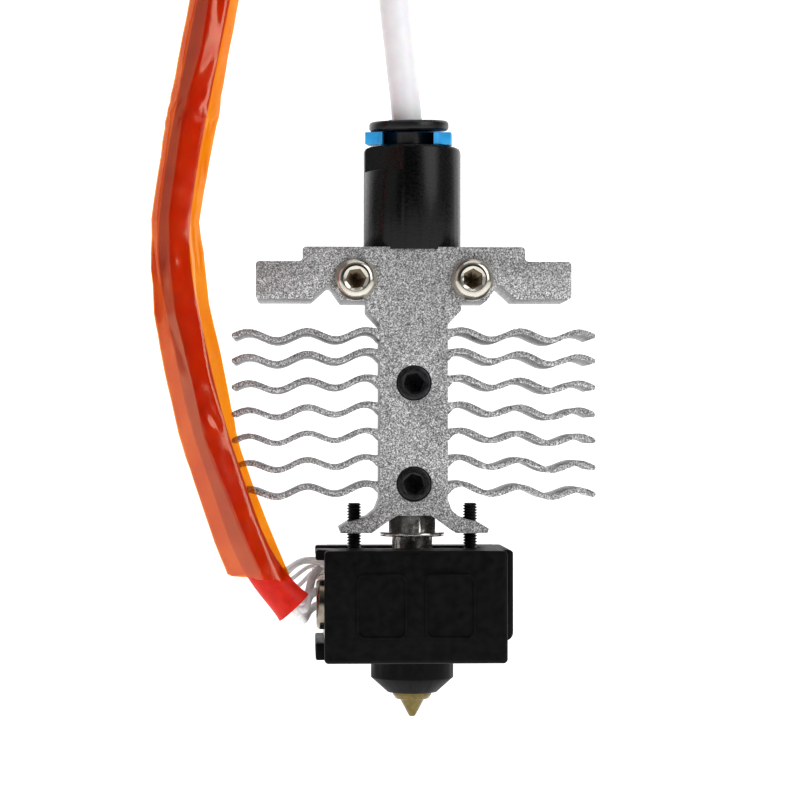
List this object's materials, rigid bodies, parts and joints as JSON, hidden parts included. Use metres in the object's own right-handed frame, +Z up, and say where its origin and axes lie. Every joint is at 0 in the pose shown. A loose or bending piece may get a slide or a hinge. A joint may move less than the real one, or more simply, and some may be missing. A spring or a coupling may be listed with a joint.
{
  "type": "hotend assembly",
  "caption": "Filament hotend with a wavy-fin heatsink, push-fit tube coupler, heat break, heater block in a silicone sock, brass nozzle and film-wrapped leads, held by its carriage screws.",
  "frame": {"origin": "midway between the two M3 carriage screws, on the heatsink's back face", "axes": "+Z up along the filament axis, away from the nozzle; +Y out of the heatsink's back face; +X to the right seen from the front"},
  "size_m": [0.0869, 0.0283, 0.1576],
  "materials": {
    "blasted_aluminium": "fine sandblasted, light grey",
    "black_anodised": "black anodised, finely turned",
    "brass": "turned brass",
    "seal_rubber": "nitrile rubber",
    "bright_steel": "turned stainless steel",
    "black_plastic": "moulded black plastic",
    "blue_plastic": "moulded sky blue plastic",
    "ptfe": "white translucent fluoropolymer",
    "tie_plastic": "moulded nylon",
    "black_steel": "black oxide steel",
    "nickel_steel": "polished nickel-plated steel",
    "block_metal": "nickel-plated block",
    "black_silicone": "matte black silicone",
    "wire_white": "white glass-fibre insulation",
    "wire_clear": "thin fluoropolymer insulation",
    "red_silicone": "red silicone rubber sleeve",
    "amber_film": "crinkled amber polyimide film",
    "plug_plastic": "natural nylon",
    "tin_terminal": "tin-plated terminals"
  },
  "bodies": {
    "hotend": {"heatsink": "blasted_aluminium", "coupler_barrel": "black_anodised", "coupler_insert": "brass", "seal_ring": "seal_rubber", "grip_claw": "bright_steel", "bowden_tube": "ptfe", "bowden_coil": "ptfe", "bowden_tail": "ptfe", "coil_tie": "tie_plastic", "throat_liner": "ptfe", "heat_break": "bright_steel", "heater_block": "block_metal", "heater_cartridge": "bright_steel", "thermistor": "bright_steel", "cartridge_set_screw": "black_steel", "thermistor_set_screw": "black_steel", "block_screw_left": "black_steel", "block_screw_right": "black_steel", "silicone_sock": "black_silicone", "heater_lead_a": "wire_white", "heater_lead_b": "wire_white", "thermistor_lead_a": "wire_clear", "thermistor_lead_b": "wire_clear", "lead_sleeve": "red_silicone", "film_wrap": "amber_film", "heater_tail_a": "wire_white", "heater_tail_b": "wire_white", "thermistor_tail_a": "wire_clear", "thermistor_tail_b": "wire_clear", "heater_plug": "plug_plastic", "thermistor_plug": "plug_plastic", "heater_terminals": "tin_terminal", "thermistor_terminals": "tin_terminal"},
    "set_screw_upper": {"set_screw_upper": "black_steel"},
    "set_screw_lower": {"set_screw_lower": "black_steel"},
    "mount_screw_left": {"mount_screw_left": "nickel_steel"},
    "mount_screw_right": {"mount_screw_right": "nickel_steel"},
    "nozzle": {"nozzle": "brass"},
    "locking_clip": {"locking_clip": "blue_plastic"},
    "collet": {"collet": "black_plastic"}
  },
  "joints": [
    {"name": "clip_pull", "type": "slide", "parent": "hotend", "child": "locking_clip", "axis": [0.1045, 0.9915, 0.078], "range_m": [0, 0.014]},
    {"name": "collet_play", "type": "slide", "parent": "hotend", "child": "collet", "axis": [-0.0218, -0.0784, 0.9967], "range_m": [-0.00008, 0.00015]},
    {"name": "set_screw_upper_turn", "type": "hinge", "parent": "hotend", "child": "set_screw_upper", "pos_m": [0, -0.012, -0.0142], "axis": [0, -1, 0], "continuous": true},
    {"name": "set_screw_lower_turn", "type": "hinge", "parent": "hotend", "child": "set_screw_lower", "pos_m": [0, -0.012, -0.02807], "axis": [0, -1, 0], "continuous": true},
    {"name": "mount_screw_left_turn", "type": "hinge", "parent": "hotend", "child": "mount_screw_left", "pos_m": [-0.008, 0, 0], "axis": [0, -1, 0], "continuous": true},
    {"name": "mount_screw_right_turn", "type": "hinge", "parent": "hotend", "child": "mount_screw_right", "pos_m": [0.008, 0, 0], "axis": [0, -1, 0], "continuous": true},
    {"name": "nozzle_turn", "type": "hinge", "parent": "hotend", "child": "nozzle", "pos_m": [0, -0.006, -0.051], "axis": [0, 0, 1], "continuous": true}
  ]
}
